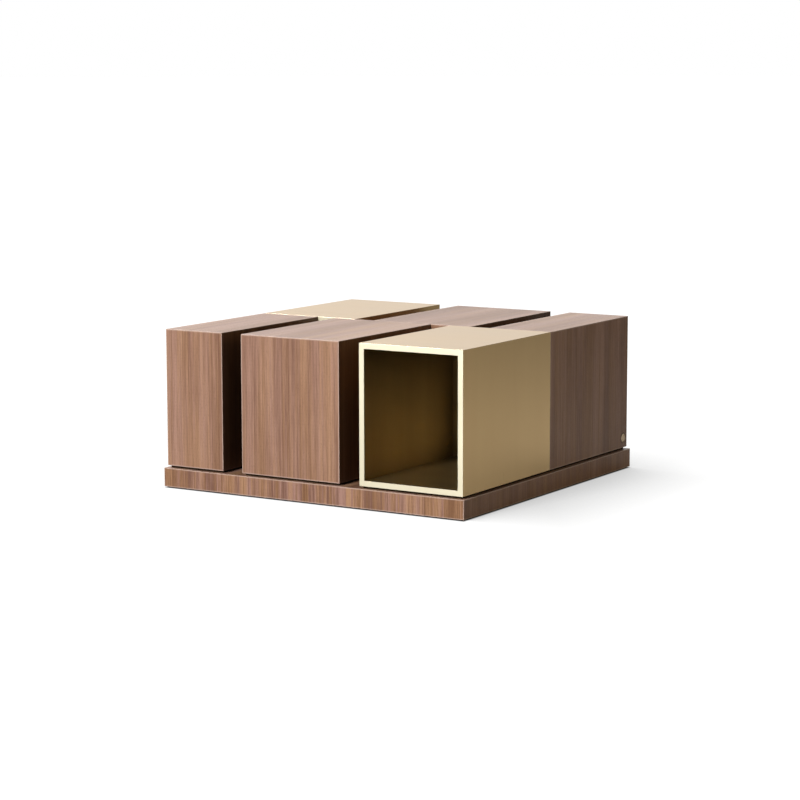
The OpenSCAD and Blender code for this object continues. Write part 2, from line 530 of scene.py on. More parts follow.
@dataclass(frozen=True)
class SatinBrass:
    """Brushed brass sheet, toned a little and lacquered."""

    name: str = "satin_brass"
    slot: str = "satin_brass"
    deep: Colour = (0.562, 0.370, 0.155)
    bright: Colour = (0.592, 0.394, 0.167)
    roughness: float = 0.24
    coat: float = 0.34
    coat_roughness: float = 0.26
    metal: float = 1.0
    # Painted shade: how much darker the colour gets in corners, looking as far as the reach.
    corner_shade: float = 0.0
    corner_shade_reach: float = 90 * MM
    unshaded_from: Span = (0.25, 0.90)
    tone_span: Span = (0.30, 0.70)
    relief: float = 0.012 * MM
    line: Grain = Grain(1500.0, 9.0, 2.2, weight=0.22)
    band: Grain = Grain(17.0, 1.1, 4.6, weight=0.46)
    cloud: Grain = Grain(7.0, 5.0, 8.1, 3.0, weight=0.32)

    def build(self) -> bpy.types.Material:
        """Makes the material: brush lines, slow bands along them, clouds, and painted shade in corners.

        Returns:
            The material.
        """
        g = Graph(bpy.data.materials.new(self.name))
        u, v, _ = g.surface_map()
        rim = g.marked(PAINTED_EDGE_HIGHLIGHT)
        layers = g.layers(u, v, self.line, self.cloud, self.band)
        line, cloud = layers[0][0], layers[1][0]
        colour = g.mix(g.spread(g.weighted(*layers), *self.tone_span), self.deep, self.bright)
        # Painted highlight: a little lighter along the arrises.
        colour = g.mix(g.scaled(rim, 0.35), colour, self.bright)
        # Painted shade: darker where the surface is closed in, in corners and where walls meet the floor.
        if self.corner_shade:
            shaded = tuple((1.0 - self.corner_shade) * channel for channel in self.deep)
            unshaded = g.spread(g.openness(self.corner_shade_reach), *self.unshaded_from)
            colour = g.mix(unshaded, shaded, colour)
        rough = g.weighted((line, 0.07), (cloud, 0.05), (rim, -0.04))
        g.bump(line, self.relief)
        return g.finish({
            "Base Color": colour, "Metallic": self.metal,
            "Roughness": g.math("ADD", rough, self.roughness),
            "Coat Weight": self.coat, "Coat Roughness": self.coat_roughness,
        })


@dataclass(frozen=True)
class SpunBrass:
    """Plain brass turned on a lathe, with fine rings and a dark border."""

    name: str = "spun_brass"
    slot: str = "disc_brass"
    deep: Colour = (0.30, 0.20, 0.11)
    bright: Colour = (0.50, 0.38, 0.24)
    border: Colour = (0.10, 0.055, 0.022)
    border_from: float = 11.5 * MM
    border_blend: float = 0.6 * MM
    ring: Grain = Grain(3500.0, 4.0, 6.0, weight=0.5)
    tarnish: Grain = Grain(160.0, 60.0, 2.0, 3.0, weight=0.5)

    def build(self) -> bpy.types.Material:
        """Makes the material from the piece's map, whose first axis is the radius.

        Returns:
            The material.
        """
        g = Graph(bpy.data.materials.new(self.name))
        u, v, _ = g.surface_map()
        ring, tarnish = g.grain(u, v, self.ring), g.grain(u, v, self.tarnish)
        tone = g.spread(g.weighted((ring, self.ring.weight), (tarnish, self.tarnish.weight)), 0.35, 0.65)
        g.bump(ring, 0.01 * MM)
        outer = g.spread(u, self.border_from, self.border_from + self.border_blend)
        return g.finish({
            "Base Color": g.mix(outer, g.mix(tone, self.deep, self.bright), self.border),
            "Metallic": 1.0, "Roughness": g.weighted((ring, 0.15), (tarnish, 0.25)),
        })


@dataclass(frozen=True)
class Textured:
    """A finish in two close tones with a fine texture: plating, paint, nylon or bare board."""

    name: str
    slot: str
    dark: Colour
    light: Colour
    fine: Cloud
    broad: Cloud
    tone: Span
    relief: float
    roughness: float
    fine_rough: float
    broad_rough: float = 0.0
    fine_share: float = 0.0
    metal: float = 0.0
    ior: float = 1.5

    def build(self) -> bpy.types.Material:
        """Makes the material: two tones in clouds, and a fine texture that also raises it.

        Returns:
            The material.
        """
        g = Graph(bpy.data.materials.new(self.name))
        fine, broad = g.cloud(self.fine), g.cloud(self.broad)
        tone = g.spread(g.weighted((fine, self.fine_share), (broad, 1.0 - self.fine_share)), *self.tone)
        rough = g.weighted((fine, self.fine_rough), (broad, self.broad_rough))
        g.bump(fine, self.relief)
        return g.finish({
            "Base Color": g.mix(tone, self.dark, self.light), "Metallic": self.metal,
            "Roughness": g.math("ADD", rough, self.roughness), "IOR": self.ior,
        })


def plated(name: str, slot: str, dark: Colour, light: Colour) -> Textured:
    """A blotchy plating with fine turning marks.

    Args:
        name: The finish's name.
        slot: The finish's material slot.
        dark: Its darker tone.
        light: Its lighter tone.

    Returns:
        The finish.
    """
    return Textured(
        name, slot, dark, light, fine=Cloud(900.0, 900.0, 5200.0, 2.0),
        broad=Cloud(260.0, 260.0, 260.0, 3.0), tone=(0.35, 0.65), relief=0.01 * MM,
        roughness=0.17, fine_rough=0.1, broad_rough=0.2, metal=1.0)


ZINC_PLATE = plated("zinc_plated_steel", "zinc_steel", (0.4032, 0.4104, 0.432), (0.56, 0.57, 0.60))
YELLOW_PLATE = plated("insert_metal", "insert_metal", (0.504, 0.4032, 0.216), (0.70, 0.56, 0.30))
BARE_BOARD = Textured(
    "bare_board", "bare_board", dark=(0.2604, 0.1798, 0.1085), light=(0.42, 0.29, 0.175),
    fine=Cloud(700.0, 700.0, 1400.0, 3.0), broad=Cloud(22.0, 22.0, 40.0, 3.0), fine_share=0.6,
    tone=(0.32, 0.68), relief=0.08 * MM, roughness=0.68, fine_rough=0.2)
SOOT_BLACK = Textured(
    "shadow_black", "shadow_black", dark=(0.012, 0.007, 0.004), light=(0.0264, 0.0154, 0.0088),
    fine=Cloud(1200.0, 1200.0, 1200.0, 2.0), broad=Cloud(40.0, 40.0, 200.0, 3.0),
    tone=(0.45, 0.75), relief=0.04 * MM, roughness=0.72, fine_rough=0.2, ior=1.12)
MOULDED_NYLON = Textured(
    "foot_nylon", "foot_nylon", dark=(0.018, 0.018, 0.019), light=(0.0342, 0.0342, 0.0361),
    fine=Cloud(2600.0, 2600.0, 2600.0, 1.0), broad=Cloud(90.0, 90.0, 90.0, 2.0),
    tone=(0.4, 0.7), relief=0.02 * MM, roughness=0.42, fine_rough=0.15)

WALNUT = WalnutVeneer()
# Paler walnut for the block tops: painted light from above.
WALNUT_TOP_PAINTED_LIGHT = WalnutVeneer(
    name="walnut_paler", dark=(0.110, 0.062, 0.040), middle=(0.165, 0.100, 0.069),
    light=(0.222, 0.142, 0.100))
# Much darker walnut for the boards that face the gaps between blocks: painted shade.
WALNUT_PAINTED_GAP_SHADE = WalnutVeneer(
    name="walnut_in_gaps", dark=(0.036, 0.0155, 0.0072), middle=(0.056, 0.025, 0.0125),
    light=(0.077, 0.038, 0.020), edge_highlight_share=0.2)
WALNUT_CROSS_CUT = WalnutVeneer(name="walnut_cross_cut", contrast=1.5, tint=1.8)
WALNUT_SIDE_RAIL = WalnutVeneer(name="walnut_side_rail", contrast=0.8)
BRASS = SatinBrass()
# A darker brass for the inside of the boxes, with painted shade in its corners.
DARK_LINING_BRASS = SatinBrass(
    name="smoked_brass", deep=(0.262, 0.190, 0.082), bright=(0.345, 0.253, 0.112), roughness=0.34,
    corner_shade=0.35)
# The polished edge strip: real polished brass, made paler and partly non-metal so it always shows bright, a
# painted highlight.
POLISHED_BRASS_PAINTED_HIGHLIGHT = SatinBrass(
    name="polished_brass", deep=(0.80, 0.725, 0.53), bright=(0.86, 0.785, 0.58), roughness=0.34,
    coat=0.4, metal=0.86)

Finish = Union[WalnutVeneer, SatinBrass, SpunBrass, Textured]


class Finishes:
    """Makes each finish's material once and keeps it."""

    def __init__(self) -> None:
        """Starts with no material made."""
        self.made: dict[str, bpy.types.Material] = {}

    def material(self, finish: Finish) -> bpy.types.Material:
        """The material of a finish, made the first time it is asked for.

        Args:
            finish: The finish.

        Returns:
            Its material.
        """
        if finish.name not in self.made:
            self.made[finish.name] = finish.build()
        return self.made[finish.name]

    def dress(self, piece: bpy.types.Object, *finishes: Finish) -> None:
        """Gives a piece its finishes, in place of what it had.

        Args:
            piece: A mesh object.
            *finishes: Its finishes, in the order of Coat.
        """
        if piece.data.materials:  # clearing an empty list would still forget which face has which
            piece.data.materials.clear()
        for finish in finishes:
            piece.data.materials.append(self.material(finish))


# ---------------------------------------------------------------------------
# Mesh helpers
# ---------------------------------------------------------------------------

TINY = 1e-9  # lengths below this count as nothing
SAME_PLACE = 0.01 * MM  # points closer than this are one point
MAP_ROUND_AXIS = 10 * MM  # how far a turned piece's map moves on for each radian round it


def new_piece(name: str, mesh: bpy.types.Mesh) -> bpy.types.Object:
    """Puts a mesh in the scene as an object at the origin.

    Args:
        name: The piece's name.
        mesh: Its mesh, already in place.

    Returns:
        The new object.
    """
    piece = bpy.data.objects.new(name, mesh)
    bpy.context.scene.collection.objects.link(piece)
    return piece


def settle(piece: bpy.types.Object, body: str, slot: str, *nodes: str) -> None:
    """Ties a finished piece to the frame and reports it.

    Args:
        piece: The finished piece.
        body: The body that it moves with.
        slot: The material slot; not used.
        *nodes: The CAD nodes that it stands for.
    """
    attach(piece, body)
    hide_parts(*nodes)
    log.info("%s: %d faces, on %s", piece.name, len(piece.data.polygons), body)


def baked(piece: bpy.types.Object) -> None:
    """Turns what a piece's modifiers make into its plain mesh.

    Args:
        piece: The piece.
    """
    graph = bpy.context.evaluated_depsgraph_get()
    mesh = bpy.data.meshes.new_from_object(piece.evaluated_get(graph))
    piece.modifiers.clear()
    piece.data = mesh


def between(low: Vector, high: Vector) -> Vector:
    """The point midway between two others."""
    return (low + high) / 2


def islands(node: str) -> list[tuple[Vector, Vector]]:
    """The boxes of a CAD node's separate solids.

    Args:
        node: The node's name.

    Returns:
        Lowest and highest corner of each solid, from front left to back right.
    """
    bm = bmesh.new()
    bm.from_mesh(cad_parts[node].data)
    bmesh.ops.remove_doubles(bm, verts=bm.verts, dist=SAME_PLACE)
    left = set(bm.verts)
    boxes = []
    while left:
        shell = {left.pop()}
        edge_of_shell = list(shell)
        while edge_of_shell:
            here = edge_of_shell.pop()
            for there in (edge.other_vert(here) for edge in here.link_edges):
                if there in left:
                    left.discard(there)
                    shell.add(there)
                    edge_of_shell.append(there)
        boxes.append(tuple(Vector(pick(v.co[i] for v in shell) for i in range(3)) for pick in (min, max)))
    bm.free()
    return sorted(boxes, key=lambda box: (round(box[0].y, 4), round(box[0].x, 4)))


def lathe(outline: Sequence[tuple[float, float]], segments: int) -> bmesh.types.BMesh:
    """Turns an outline round the Z axis into a closed solid.

    Args:
        outline: Points (radius, height) from the axis, round the outside, and back to the axis.
        segments: How many flats go round.

    Returns:
        A mesh with a map whose axes are the radius plus the height, and the way round it.
    """
    bm = bmesh.new()
    rings: list[list[bmesh.types.BMVert]] = []
    for radius, height in outline:
        count = 1 if radius < TINY else segments
        rings.append([
            bm.verts.new((radius * math.cos(turn), radius * math.sin(turn), height))
            for turn in (math.tau * i / segments for i in range(count))
        ])
    for lower, upper in zip(rings, rings[1:]):
        for i in range(segments):
            j = (i + 1) % segments
            corners = [ring[k % len(ring)] for ring, k in ((lower, i), (lower, j), (upper, j), (upper, i))]
            face = list(dict.fromkeys(corners))
            if len(face) > 2:
                bm.faces.new(face)
    bmesh.ops.recalc_face_normals(bm, faces=bm.faces)
    layer = bm.loops.layers.uv.new(VENEER_MAP)
    for face in bm.faces:
        middle = face.calc_center_median()
        turn = math.atan2(middle.y, middle.x)
        for loop in face.loops:
            point = loop.vert.co
            loop[layer].uv = (point.xy.length + point.z, turn * MAP_ROUND_AXIS)
    return bm


def threaded(root: float, crest: float, start: float, end: float, pitch: float) -> list[tuple[float, float]]:
    """A thread's zigzag outline up a bolt or a stud.

    Args:
        root: The radius in the thread's grooves.
        crest: The radius over the thread.
        start: The height where the thread starts.
        end: The height that it stays under.
        pitch: The height of one turn.

    Returns:
        Points (radius, height).
    """
    points = []
    for i in range(int((end - start) / pitch)):
        height = start + pitch * (i + 0.5)
        points += [(root, height), (crest, height + pitch / 2)]
    return points


def as_mesh(bm: bmesh.types.BMesh, name: str, smooth_below: Optional[float] = None) -> bpy.types.Mesh:
    """Writes a bmesh out as a mesh and frees it.

    Args:
        bm: The bmesh.
        name: The mesh's name.
        smooth_below: Edges flatter than this angle, in degrees, are shaded smooth.

    Returns:
        The mesh.
    """
    mesh = bpy.data.meshes.new(name)
    bm.to_mesh(mesh)
    bm.free()
    if smooth_below is not None:
        mesh.shade_smooth()
        mesh.set_sharp_from_angle(angle=math.radians(smooth_below))
    return mesh


# ---------------------------------------------------------------------------
# Boards
# ---------------------------------------------------------------------------


@dataclass
class Board:
    """A flat board, square or mitred on each edge, with soft arrises.

    Where two mitred boards meet, each carries half of the rounded corner, so the corner is
    whole and its joint is a hairline. Boards with the same seed share their veneer leaves.
    """

    node: str
    side: Side
    mitres: Mitres
    arris: float
    leaf_width: float = math.inf
    seed: str = ""
    start_along: float = 0.0
    lined: Lined = Lined.NOWHERE
    edged: Optional[Vector] = None
    crosswise: bool = False
    rim_width: float = 2.6 * MM
    steps: int = 4
    log_size: float = 9.0
    leaves: int = field(init=False)
    low: Vector = field(init=False)
    high: Vector = field(init=False)

    def __post_init__(self) -> None:
        """Reads the board's box from the frame and counts its leaves."""
        self.low, self.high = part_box(self.node)
        self.leaves = max(1, round(self.width / self.leaf_width))
        self.seed = self.seed or self.node

    def extent(self, direction: Vector) -> float:
        """The board's size along an axis."""
        return abs((self.high - self.low).dot(direction))

    @property
    def width(self) -> float:
        """Size across the board."""
        return self.extent(self.side.across)

    @property
    def height(self) -> float:
        """Size along the board."""
        return self.extent(self.side.along)

    @property
    def thickness(self) -> float:
        """Size from the outer face to the inner one."""
        return self.extent(self.side.inward)

    def edge_inset(self, mitred: bool, depth: float) -> float:
        """How far an edge is drawn in at a depth.

        Args:
            mitred: Whether the edge is cut at 45 degrees.
            depth: Distance below the outer face.

        Returns:
            The distance from the board's full outline.
        """
        knee = self.arris * (1 - math.sqrt(0.5))
        if depth > knee + TINY and mitred:
            return depth
        if depth < self.arris:
            return self.arris - math.sqrt(max(0.0, self.arris ** 2 - (self.arris - depth) ** 2))
        return max(0.0, depth - (self.thickness - 0.5 * self.arris))

    def ring(self, depth: float, further: float = 0.0) -> list[Vector]:
        """The board's outline at a depth: the low edge, then the high one, both left to right.

        Args:
            depth: Distance below the outer face.
            further: Extra inset on all four edges.

        Returns:
            Points in the frame, one at each leaf's edge.
        """
        near, far, low, high = (
            self.edge_inset(cut, depth) + further
            for cut in (self.mitres.near, self.mitres.far, self.mitres.low, self.mitres.high)
        )
        stops = [self.width * i / self.leaves for i in range(self.leaves + 1)]
        stops[0], stops[-1] = near, self.width - far
        corner = self.side.corner(self.low, self.high)
        rows = [(x, low) for x in stops] + [(x, self.height - high) for x in stops]
        return [
            corner + self.side.across * x + self.side.along * y + self.side.inward * depth
            for x, y in rows
        ]

    def depths(self) -> list[float]:
        """The depths of the rings.

        Returns:
            Depths round the arris, then down to the small inner chamfer and the inner face.
        """
        turns = (math.pi / 4 * i / self.steps for i in range(2 * self.steps + 1))
        arris = [self.arris * (1 - math.cos(turn)) for turn in turns]
        return arris + [self.thickness - 0.5 * self.arris, self.thickness]

    def leaf_at(self, across: float) -> int:
        """The number of the veneer leaf at a place across the board."""
        return min(self.leaves - 1, max(0, int(across / self.width * self.leaves)))

    def flat_place(self, point: Vector) -> tuple[float, float, float]:
        """A point's place on the board.

        Args:
            point: The point in the frame.

        Returns:
            Its distances across, along and below the outer face.
        """
        offset = point - self.side.corner(self.low, self.high)
        return tuple(offset.dot(way) for way in (self.side.across, self.side.along, self.side.inward))

    def map_surface(self, bm: bmesh.types.BMesh) -> None:
        """Lays the grain over the faces, each leaf from its own part of the log.

        Args:
            bm: The board's mesh.
        """
        rng = random.Random(self.seed)
        far = self.log_size
        shifts = [(rng.uniform(0, far), rng.uniform(0, far), rng.uniform(-1, 1)) for _ in range(self.leaves)]
        layer = bm.loops.layers.uv.new(VENEER_MAP)
        leaf_layer = bm.faces.layers.float.new(LEAF)
        for face in bm.faces:
            across, _, _ = self.flat_place(face.calc_center_median())
            shift_u, shift_v, face[leaf_layer] = shifts[self.leaf_at(across)]
            on_edge = abs(face.normal.dot(self.side.inward)) < 0.5
            on_end = abs(face.normal.dot(self.side.along)) > 0.5
            for loop in face.loops:
                x, y, depth = self.flat_place(loop.vert.co)
                if on_edge:
                    x, y = depth, (x if on_end else y)
                elif self.crosswise:
                    x, y = y, x
                loop[layer].uv = (x + shift_u, y + shift_v + self.start_along)

    def coat(self, bm: bmesh.types.BMesh, outermost: list[bmesh.types.BMVert]) -> None:
        """Picks the rim of a lined outer face for the lining's finish, and edged sides for the edging's.

        Args:
            bm: The board's mesh.
            outermost: The points round the middle of the outer face.
        """
        for face in bm.faces:
            if self.lined is Lined.OUTER and sum(vertex in outermost for vertex in face.verts) == 2:
                face.material_index = Coat.LINING.value
            on_edge = abs(face.normal.dot(self.side.inward)) < 0.9
            if self.edged is not None and on_edge and abs(face.normal.dot(self.edged)) > 0.5:
                face.material_index = Coat.EDGING.value

    def build(self, name: str) -> bpy.types.Object:
        """Makes the board.

        Args:
            name: The new piece's name.

        Returns:
            The piece, in place.
        """
        bm = bmesh.new()
        rim_layer = bm.verts.layers.float.new(PAINTED_EDGE_HIGHLIGHT)
        outlines = [self.ring(0.0, self.rim_width)] + [self.ring(depth) for depth in self.depths()]
        rings = [[bm.verts.new(point) for point in outline] for outline in outlines]
        # The arris band carries the rim value for the painted edge highlight.
        for vertex in (vertex for ring in rings[1:] for vertex in ring):
            vertex[rim_layer] = 1.0
        row = self.leaves + 1
        way_round = list(range(row)) + list(reversed(range(row, 2 * row)))
        for outer, inner in zip(rings, rings[1:]):
            for a, b in zip(way_round, way_round[1:] + way_round[:1]):
                bm.faces.new((outer[a], outer[b], inner[b], inner[a]))
        for cap, here in ((rings[0], Lined.OUTER), (rings[-1], Lined.INNER)):
            for i in range(self.leaves):
                face = bm.faces.new((cap[i], cap[i + 1], cap[row + i + 1], cap[row + i]))
                face.material_index = (Coat.LINING if self.lined is here else Coat.OUTSIDE).value
        bmesh.ops.recalc_face_normals(bm, faces=bm.faces)
        bm.normal_update()
        self.coat(bm, rings[0])
        self.map_surface(bm)
        return new_piece(name, as_mesh(bm, name))


# ---------------------------------------------------------------------------
# Geometry Nodes
# ---------------------------------------------------------------------------


class Tree(Builder):
    """One Geometry Nodes tree, which takes points and gives back geometry."""

    def __init__(self, name: str) -> None:
        """Starts the tree.

        Args:
            name: The tree's name.
        """
        self.group = bpy.data.node_groups.new(name, "GeometryNodeTree")
        super().__init__(self.group)
        self.group.interface.new_socket("Geometry", in_out="OUTPUT", socket_type="NodeSocketGeometry")
        self.entry = self.nodes.new("NodeGroupInput")
        self.exit = self.nodes.new("NodeGroupOutput")
        self.identifiers: dict[str, str] = {}
        self.points = self.ask("Points", "Geometry")

    def ask(self, name: str, kind: str = "Float") -> Socket:
        """Adds a named input.

        Args:
            name: The input's name.
            kind: What it holds.

        Returns:
            The socket inside the tree.
        """
        made = self.group.interface.new_socket(name, in_out="INPUT", socket_type=f"NodeSocket{kind}")
        self.identifiers[name] = made.identifier
        return self.entry.outputs[name]

    def copies(self, points: Socket, pattern: Socket, **inputs: object) -> Socket:
        """Puts a copy of a pattern on every point.

        Args:
            points: The points.
            pattern: The geometry to copy.
            **inputs: The copies' other inputs, such as Rotation.

        Returns:
            The copies.
        """
        return self.node("GeometryNodeInstanceOnPoints", Points=points, Instance=pattern, **inputs).outputs[0]

    def close(self, geometry: Socket) -> "Tree":
        """Ends the tree: real geometry with the material that it is given.

        Args:
            geometry: What the tree has made.

        Returns:
            The same tree.
        """
        material = self.ask("Material", "Material")
        real = self.node("GeometryNodeRealizeInstances", Geometry=geometry)
        dressed = self.node("GeometryNodeSetMaterial", Geometry=real.outputs[0], Material=material)
        self.put(self.exit.inputs[0], dressed.outputs[0])
        return self

    def grow(self, piece: bpy.types.Object, **values: object) -> None:
        """Runs the tree on a piece and keeps the result as its plain mesh.

        Args:
            piece: A mesh object whose vertices are the points.
            **values: The named inputs, with _ for spaces.
        """
        modifier = piece.modifiers.new(self.group.name, "NODES")
        modifier.node_group = self.group
        for key, value in values.items():
            modifier[self.identifiers[key.replace("_", " ")]] = value
        baked(piece)


def ring_tree() -> Tree:
    """A tree that puts a flat ring, such as a washer, on every point.

    Returns:
        The tree, with inputs Inner diameter, Outer diameter, Height and Flats.
    """
    tree = Tree("rings_on_points")
    inner, outer = tree.ask("Inner diameter"), tree.ask("Outer diameter")
    height, flats = tree.ask("Height"), tree.ask("Flats", "Int")
    radius = tree.math("MULTIPLY", tree.math("ADD", inner, outer), 0.25)
    width = tree.math("MULTIPLY", tree.math("SUBTRACT", outer, inner), 0.5)
    path = tree.node("GeometryNodeCurvePrimitiveCircle", Resolution=flats, Radius=radius)
    section = tree.node("GeometryNodeCurvePrimitiveQuadrilateral", Width=width, Height=height)
    ring = tree.node("GeometryNodeCurveToMesh", Curve=path.outputs[0], Profile_Curve=section.outputs[0])
    return tree.close(tree.copies(tree.points, ring.outputs[0]))


def copies_tree() -> Tree:
    """A tree that puts a copy of one piece on every point, each turned by chance about Z.

    Returns:
        The tree, with inputs Pattern, Size and Seed.
    """
    tree = Tree("copies_on_points")
    pattern, size, seed = tree.ask("Pattern", "Object"), tree.ask("Size"), tree.ask("Seed", "Int")
    source = tree.node("GeometryNodeObjectInfo", Object=pattern)
    chance = tree.node("FunctionNodeRandomValue", {"data_type": "FLOAT"}, Seed=seed)
    least, most = (socket for socket in chance.inputs if socket.name in ("Min", "Max") and socket.enabled)
    least.default_value, most.default_value = 0.0, math.tau
    turn = next(socket for socket in chance.outputs if socket.enabled)
    turns = tree.node("ShaderNodeCombineXYZ", Z=turn)
    copies = tree.copies(tree.points, source.outputs["Geometry"], Rotation=turns.outputs[0], Scale=size)
    return tree.close(copies)


def rib_tree() -> Tree:
    """A tree that stands ribs round a turned foot's rim and joins them to it.

    Returns:
        The tree, with inputs Count, Rim radius, Rib height, Rib depth, Rib width and Centre.
    """
    tree = Tree("ribs_round_a_rim")
    count, radius = tree.ask("Count", "Int"), tree.ask("Rim radius")
    height, depth, width = (tree.ask(name) for name in ("Rib height", "Rib depth", "Rib width"))
    centre = tree.ask("Centre", "Vector")
    middle = tree.math("SUBTRACT", radius, tree.math("MULTIPLY", depth, 0.5))
    rim = tree.node("GeometryNodeCurvePrimitiveCircle", Resolution=count, Radius=middle)
    size = tree.node("ShaderNodeCombineXYZ", X=width, Y=depth, Z=height)
    rib = tree.node("GeometryNodeMeshCube", Size=size.outputs[0])
    places = tree.node("GeometryNodeCurveToPoints", {"mode": "EVALUATED"}, Curve=rim.outputs[0]).outputs
    turned = tree.node("FunctionNodeAlignRotationToVector", {"axis": "X"}, Vector=places["Tangent"])
    ribs = tree.copies(places["Points"], rib.outputs[0], Rotation=turned.outputs[0])
    placed = tree.node("GeometryNodeTransform", Geometry=ribs, Translation=centre)
    joined = tree.node("GeometryNodeJoinGeometry", Geometry=tree.points)
    tree.put(joined.inputs[0], placed.outputs[0])
    return tree.close(joined.outputs[0])


def points_piece(name: str, points: Iterable[Vector]) -> bpy.types.Object:
    """Makes a piece of loose points, for a tree to grow on.

    Args:
        name: The piece's name.
        points: Its points.

    Returns:
        The piece.
    """
    mesh = bpy.data.meshes.new(name)
    mesh.from_pydata([tuple(point) for point in points], [], [])
    return new_piece(name, mesh)


# ---------------------------------------------------------------------------
# Sub-assemblies
# ---------------------------------------------------------------------------


@dataclass
class WalnutBlock:
    """A hollow block of six boards: five veneered in walnut, and a bare one underneath."""

    name: str
    finishes: Finishes
    in_gaps: tuple[Side, ...] = ()
    finish: WalnutVeneer = WALNUT
    top_painted_light_finish: WalnutVeneer = WALNUT_TOP_PAINTED_LIGHT
    # The boards on the in_gaps sides take this finish: painted shade.
    gap_shade_finish: WalnutVeneer = WALNUT_PAINTED_GAP_SHADE
    arris: float = 1.0 * MM
    leaf_width: float = 160 * MM
    body: str = "table"

    def finish_on(self, side: Side) -> WalnutVeneer:
        """The finish of one side: tops are paler, with painted light from above, and boards in the gaps
        darker, with painted shade.
        """
        upright = self.gap_shade_finish if side in self.in_gaps else self.finish
        return self.top_painted_light_finish if side is Side.TOP else upright

    def board(self, side: Side, mitres: Mitres = UPRIGHT, leaves_of: Optional[Side] = None,
              start: float = 0.0) -> None:
        """Makes one veneered board and dresses it.

        Args:
            side: The side of the block that it is on.
            mitres: Its mitred edges.
            leaves_of: The side whose veneer leaves it carries on, if they aren't its own.
            start: Where on those leaves this board starts.
        """
        node = f"{self.name}_{side.name.lower()}"
        seed = f"{self.name} {(leaves_of or side).name.lower()}"
        piece = Board(node, side, mitres, self.arris, self.leaf_width, seed, start).build(f"{node}_board")
        self.finishes.dress(piece, self.finish_on(side))
        settle(piece, self.body, self.finish.slot, node)

    def build(self) -> None:
        """Makes the block. The front's leaves run on over the top."""
        low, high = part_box(f"{self.name}_front")
        self.board(Side.FRONT)
        self.board(Side.TOP, ALL_ROUND, Side.FRONT, high.z - low.z)
        for side in (Side.BACK, Side.LEFT, Side.RIGHT):
            self.board(side)
        self.finishes.dress(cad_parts[f"{self.name}_bottom"], BARE_BOARD)


@dataclass
class BrassBox:
    """A box of five brass-clad panels, open at one end, with a polished rim and a dull lining."""

    name: str
    finishes: Finishes
    end_side: Side
    finish: SatinBrass = BRASS
    lining: SatinBrass = DARK_LINING_BRASS
    edging: SatinBrass = POLISHED_BRASS_PAINTED_HIGHLIGHT
    arris: float = 0.5 * MM
    body: str = "table"

    def panel(self, part: str, board: Board) -> None:
        """Makes one panel and dresses it.

        Args:
            part: The panel's name within the box.
            board: Its board.
        """
        piece = board.build(f"{self.name}_{part}_panel")
        self.finishes.dress(piece, self.finish, self.lining, self.edging)
        settle(piece, self.body, self.finish.slot, board.node)

    def build(self) -> None:
        """Makes the four long panels and the end that closes them."""
        lengthwise = Side.TOP.along
        for side in (Side.TOP, Side.BOTTOM, Side.LEFT, Side.RIGHT):
            part = side.name.lower()
            flat = side in (Side.TOP, Side.BOTTOM)
            self.panel(part, Board(
                f"{self.name}_{part}", side, LONG_EDGES if flat else UPPER_AND_LOWER, self.arris,
                lined=Lined.INNER, edged=lengthwise, crosswise=flat))
        self.panel("end", Board(f"{self.name}_end", self.end_side, SQUARE, self.arris, lined=Lined.OUTER))


@dataclass
class Plinth:
    """The slab that the blocks stand on: a veneered top and four rails, open beneath."""

    finishes: Finishes
    finish: WalnutVeneer = WALNUT_CROSS_CUT
    side_finish: WalnutVeneer = WALNUT_SIDE_RAIL
    arris: float = 0.8 * MM
    leaf_width: float = 115 * MM
    body: str = "table"

    def board(self, part: str, side: Side, mitres: Mitres, finish: WalnutVeneer) -> None:
        """Makes one veneered board and dresses it.

        Args:
            part: The board's name within the plinth.
            side: The side of the plinth that it is on.
            mitres: Its mitred edges.
            finish: Its finish.
        """
        node = f"plinth_{part}"
        piece = Board(node, side, mitres, self.arris, self.leaf_width).build(f"{node}_board")
        self.finishes.dress(piece, finish)
        settle(piece, self.body, finish.slot, node)

    def build(self) -> None:
        """Makes the top and rails, and dresses the frame inside."""
        self.board("top", Side.TOP, ALL_ROUND, self.finish)
        for side in (Side.FRONT, Side.BACK):
            self.board(f"{side.name.lower()}_rail", side, UPRIGHT, self.finish)
        for side in (Side.LEFT, Side.RIGHT):
            self.board(f"{side.name.lower()}_rail", side, UPRIGHT, self.side_finish)
        for name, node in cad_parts.items():
            if name.endswith(("cross_rail", "corner_block")):
                self.finishes.dress(node, BARE_BOARD)
            if name.endswith("_spacer"):
                self.finishes.dress(node, SOOT_BLACK)


